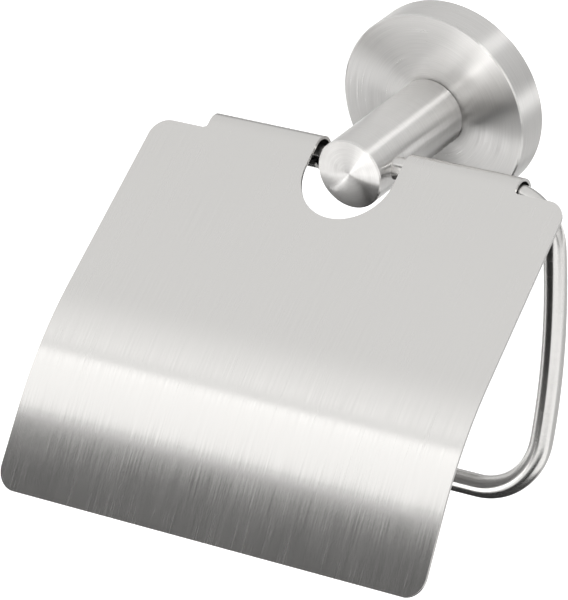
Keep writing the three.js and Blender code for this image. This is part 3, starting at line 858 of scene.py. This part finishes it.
def post_cap_screw(sizes):
    """Socket head cap screw along Y with a knurled head and a rolled thread."""
    radius, head_radius = sizes.post_shank, post_screw_high.z
    back, tip = post_screw_high.y, post_screw_low.y
    under = back - sizes.post_head
    thread_end = under - sizes.post_neck
    edge = sizes.edge
    knurled = np.linspace(back - 2 * edge, under + edge, 10)
    places = np.arange(thread_end, tip + sizes.post_thread, -sizes.post_pitch / 8)
    profile = [(0, back), (head_radius - 2 * edge, back), *((head_radius, p) for p in knurled),
               (head_radius - edge, under), (radius, under), *((radius, p) for p in places),
               (radius - sizes.post_thread, tip), (0, tip)]
    rolled = thread(tip, thread_end, sizes.post_pitch, sizes.post_thread)

    def wave(t, place, r):
        """Rolled thread on the shank, and a cosine of the angle as the head's knurl."""
        knurl = np.where(r == head_radius, sizes.knurl * (1 - np.cos(sizes.knurls * t)), 0)
        return np.where(place < thread_end, rolled(t, place, r), r - knurl)

    piece = turned("post_cap_screw", profile, ["zinc_plate"], 4 * sizes.knurls, "Y",
                   (0, 0, 0), wave)
    piece.data.flip_normals()  # the profile runs backwards along the axis
    bore(piece, socket_tool(0.55 * head_radius, back - sizes.post_socket_depth,
                            back + 0.5 * sizes.post_socket_depth, "Y", (0, 0, 0)))
    return finish_piece(piece, "root", "zinc_plated_steel", "post_screw", sharp=40)


def flat_washer(sizes, clearance):
    """Flat washer with broken edges."""
    hole, outer, edge = sizes.post_shank + clearance, washer_high.z, sizes.edge
    front, back = washer_low.y, washer_high.y
    profile = [(hole, back - edge), (hole, front + edge), (hole + edge, front), (outer - edge, front),
               (outer, front + edge), (outer, back - edge), (outer - edge, back), (hole + edge, back),
               (hole, back - edge)]
    piece = turned("flat_washer", profile, ["zinc_plate"], 64)
    return finish_piece(piece, "root", "zinc_plated_steel", "post_washer")


class HOLDER_OT_screws(bpy.types.Operator):
    """Builds the wall screws, the grub screws, the post screw and its washer"""
    bl_idname = "holder.screws"
    bl_label = "Screws"

    def execute(self, context):
        sizes = context.scene.holder_screws
        wall_screw("countersunk_screw_left", screw_1_low, screw_1_high, "wall_screw_1", sizes)
        wall_screw("countersunk_screw_right", screw_2_low, screw_2_high, "wall_screw_2", sizes)
        grub_screw("flange_grub", grub_low, grub_high, "flange_grub_screw", sizes)
        grub_screw("rod_set_grub", set_low, set_high, "rod_set_screw", sizes)
        post_cap_screw(sizes)
        flat_washer(sizes, context.scene.holder_mount.clearance)
        return {"FINISHED"}


class HOLDER_OT_wall_plate(bpy.types.Operator):
    """Builds the wall plate inside the flange"""
    bl_idname = "holder.wall_plate"
    bl_label = "Wall Plate"

    def execute(self, context):
        mount, screws = context.scene.holder_mount, context.scene.holder_screws
        radius, front, gap = plate_high.z, plate_low.y, mount.clearance
        profile = chamfered(radius, 0, front, mount.chamfer, mount.chamfer)
        piece = turned("mounting_disc", profile, ["zinc_plate"], mount.around)
        piece.data.flip_normals()  # the profile runs backwards along the axis
        grub_place = (0, (grub_low.y + grub_high.y) / 2, 0)
        tools = [drill(post_screw_high.z + mount.head_room, 2 * front, post_screw_high.y + gap, "Y",
                       (0, 0, 0), around=64),
                 drill(screws.grub_radius + gap, -CLEAR * radius, grub_high.z + gap, "Z", grub_place)]
        head, shank, neck = screws.wall_head + 2 * gap, screws.wall_shank + gap, front + screws.wall_sink
        sink = [(0, 2 * front), (head, 2 * front), (head, front), (shank + gap, neck), (shank, neck),
                (shank, -front), (0, -front)]
        for low, high in ((screw_1_low, screw_1_high), (screw_2_low, screw_2_high)):
            centre = ((low.x + high.x) / 2, 0, (low.z + high.z) / 2)
            tools.append(turned("tool", sink, [], SCREW_AROUND, "Y", centre))
        bore(piece, *tools)
        finish_piece(piece, "root", "zinc_plated_steel", "wall_plate")
        return {"FINISHED"}


# ---- stage

def soft_light(name, place, towards, width, height, power):
    """Rectangular soft light that shines from one point towards another."""
    data = bpy.data.lights.new(name, "AREA")
    data.shape = "RECTANGLE"
    data.size, data.size_y, data.energy = width, height, power
    light = bpy.data.objects.new(name, data)
    bpy.context.scene.collection.objects.link(light)
    place, towards = Vector(place), Vector(towards)
    turn = (towards - place).to_track_quat("-Z", "Y").to_matrix().to_4x4()
    light.matrix_world = Matrix.Translation(place) @ turn
    light.visible_camera = False
    return light


def level_sheet(name, centre, width, depth, steps, finish):
    """Level rectangle of steps by steps faces."""
    x, y = np.meshgrid(np.linspace(-width / 2, width / 2, steps + 1),
                       np.linspace(-depth / 2, depth / 2, steps + 1))
    points = np.stack([x, y, np.zeros_like(x)], -1) + np.asarray(centre)
    sheet = make_mesh(name, [(points, x, y)], [finish])
    return sheet


def dark_card(name, centre, width, depth, shade):
    """Level card, seen only in reflections, its shade very slightly uneven."""
    _, node, feed = new_material(name)
    cloud = object_noise(node, 3.0)
    feed(Base_Color=blend(node, cloud, (shade,) * 3, (1.4 * shade,) * 3), Roughness=0.9)
    card = level_sheet(name, centre, width, depth, 2, name)
    card.visible_camera = False
    card.visible_diffuse = False
    card.visible_shadow = False
    return card


# name, place, the point it shines towards, width, height (metres), power (watts)
LIGHTS = (
    ("front_strip", (-0.15, -0.2454, 0.1081), (-0.15, -0.1664, 0.0468), 1.1, 0.09, 0.4),
    ("right_light", (0.72, -0.13, 1.07), (0, -0.03, 0), 0.15, 0.3, 2.2),
    ("front_low_light", (-0.19, -0.56, -0.17), (0, -0.01, 0), 0.08, 0.25, 0.15),
    ("front_spark", (-0.1, -0.62, -0.05), (0.01, -0.01, 0.015), 0.05, 0.05, 0.16),
)
# name, middle, width, depth (metres), shade: three dark flags and a gray one for reflections
CARDS = (
    ("right_card", (0.45, 0.5, -0.3), 0.9, 0.9, 0.6),
    ("front_card", (0.36, -0.58, -0.33), 0.66, 0.5, 0.02),
    ("left_card", (-1.05, 0.1, -0.33), 0.6, 0.9, 0.03),
    ("under_card", (-0.12, -0.17, -0.33), 0.66, 0.58, 0.02),
)
# share of the half turn from the front horizon over the top to the back one, and the light there
ROOM_LIGHT = ((0.0, 1.45), (0.08, 1.35), (0.145, 0.18), (0.23, 0.16), (0.3, 0.22), (0.345, 1.36),
              (0.38, 1.22), (0.43, 1.04), (0.47, 0.97), (0.8, 0.95), (0.9, 0.55), (1.0, 0.2))


class HOLDER_OT_stage(bpy.types.Operator):
    """Makes the camera, the floor, the room, the lights and the cards"""
    bl_idname = "holder.stage"
    bl_label = "Stage"

    def execute(self, context):
        stage = context.scene.holder_stage
        self.camera(context.scene, stage)
        self.floor(stage)
        self.room(context.scene, stage)
        for light in LIGHTS:
            soft_light(*light)
        for card in CARDS:
            dark_card(*card)
        context.scene.view_settings.view_transform = "Standard"
        return {"FINISHED"}

    def camera(self, scene, stage):
        """Long lens, its turn given by the directions to the right and up the view."""
        data = bpy.data.cameras.new("camera")
        data.lens = stage.lens
        data.sensor_width = 36.0
        data.clip_start, data.clip_end = 0.05, 50.0
        camera = bpy.data.objects.new("camera", data)
        scene.collection.objects.link(camera)
        right, up = Vector(stage.camera_right).normalized(), Vector(stage.camera_up).normalized()
        turn = Matrix((right, up, right.cross(up))).transposed().to_4x4()
        camera.matrix_world = Matrix.Translation(stage.camera_place) @ turn
        scene.camera = camera

    def floor(self, stage):
        """Square floor, its colour very slightly uneven, and clear when seen from below."""
        material, node, feed = new_material("pale_floor")
        pale = tuple(stage.floor_colour)
        colour_here = blend(node, object_noise(node, 1.5), pale, shaded(pale, 0.97))
        feed(Base_Color=colour_here, Emission_Color=colour_here, Emission_Strength=stage.floor_glow,
             Roughness=0.9)
        tree = material.node_tree
        clear = node("ShaderNodeBsdfTransparent").outputs[0]
        below = node("ShaderNodeNewGeometry").outputs["Backfacing"]
        one_sided = node("ShaderNodeMixShader", {0: below, 1: tree.nodes["Principled BSDF"].outputs[0],
                                                 2: clear}).outputs[0]
        tree.links.new(one_sided, tree.nodes["Material Output"].inputs[0])
        width = stage.floor_width
        level_sheet("floor", (0, 0, -stage.floor_drop), width, width, 4, "pale_floor")

    def room(self, scene, stage):
        """Studio room: its light depends on the angle about X, as ROOM_LIGHT says, and the
        camera sees it plain and pale."""
        world = bpy.data.worlds.new("studio")
        scene.world = world
        world.use_nodes = True
        world.node_tree.nodes.clear()
        node = node_maker(world.node_tree)
        place = node("ShaderNodeTexCoord").outputs["Generated"]
        split = node("ShaderNodeSeparateXYZ", {0: place})
        forward = calculate(node, "MULTIPLY", split.outputs["Y"], -1)
        turn = calculate(node, "ARCTAN2", split.outputs["Z"], forward)
        share = calculate(node, "DIVIDE", turn, math.pi)
        ramp = node("ShaderNodeValToRGB", {0: share})
        ramp.color_ramp.interpolation = "EASE"
        while len(ramp.color_ramp.elements) < len(ROOM_LIGHT):
            ramp.color_ramp.elements.new(0.5)
        for element, (position, light) in zip(ramp.color_ramp.elements, ROOM_LIGHT):
            element.position = position
            element.color = (light, light, light, 1)
        seen = node("ShaderNodeLightPath").outputs["Is Camera Ray"]
        shown = node("ShaderNodeMix", {0: seen, MIX_LOW: ramp.outputs[0], MIX_HIGH: (*stage.backdrop, 1)},
                     data_type="RGBA").outputs[MIX_RESULT]
        background = node("ShaderNodeBackground", {0: shown}).outputs[0]
        node("ShaderNodeOutputWorld", {0: background})


# ---- panel and start

STEPS = ("stage", "flange", "post", "rod", "sleeve", "lid", "wall_plate", "screws")


class HOLDER_PT_panel(bpy.types.Panel):
    """Sizes and steps of the holder"""
    bl_idname = "HOLDER_PT_panel"
    bl_label = "Toilet Paper Holder"
    bl_space_type = "VIEW_3D"
    bl_region_type = "UI"
    bl_category = "Holder"

    def draw(self, context):
        for step in STEPS:
            self.layout.operator("holder." + step)
        for name, group in GROUPS:
            box = self.layout.box()
            for key in group.__annotations__:
                box.prop(getattr(context.scene, name), key)


GROUPS = (("holder_lid", HolderLidSizes), ("holder_rod", HolderRodSizes),
          ("holder_mount", HolderMountSizes), ("holder_screws", HolderScrewSizes),
          ("holder_finish", HolderFinish), ("holder_stage", HolderStage))
CLASSES = (*(group for _, group in GROUPS), HOLDER_OT_stage, HOLDER_OT_flange, HOLDER_OT_post,
           HOLDER_OT_rod, HOLDER_OT_sleeve, HOLDER_OT_lid, HOLDER_OT_wall_plate, HOLDER_OT_screws,
           HOLDER_PT_panel)


def register():
    for cls in CLASSES:
        bpy.utils.register_class(cls)
    for name, group in GROUPS:
        setattr(bpy.types.Scene, name, PointerProperty(type=group))


def unregister():
    for name, _ in GROUPS:
        delattr(bpy.types.Scene, name)
    for cls in reversed(CLASSES):
        bpy.utils.unregister_class(cls)


def main():
    register()
    for step in STEPS:
        getattr(bpy.ops.holder, step)()


if __name__ == "__main__":
    main()
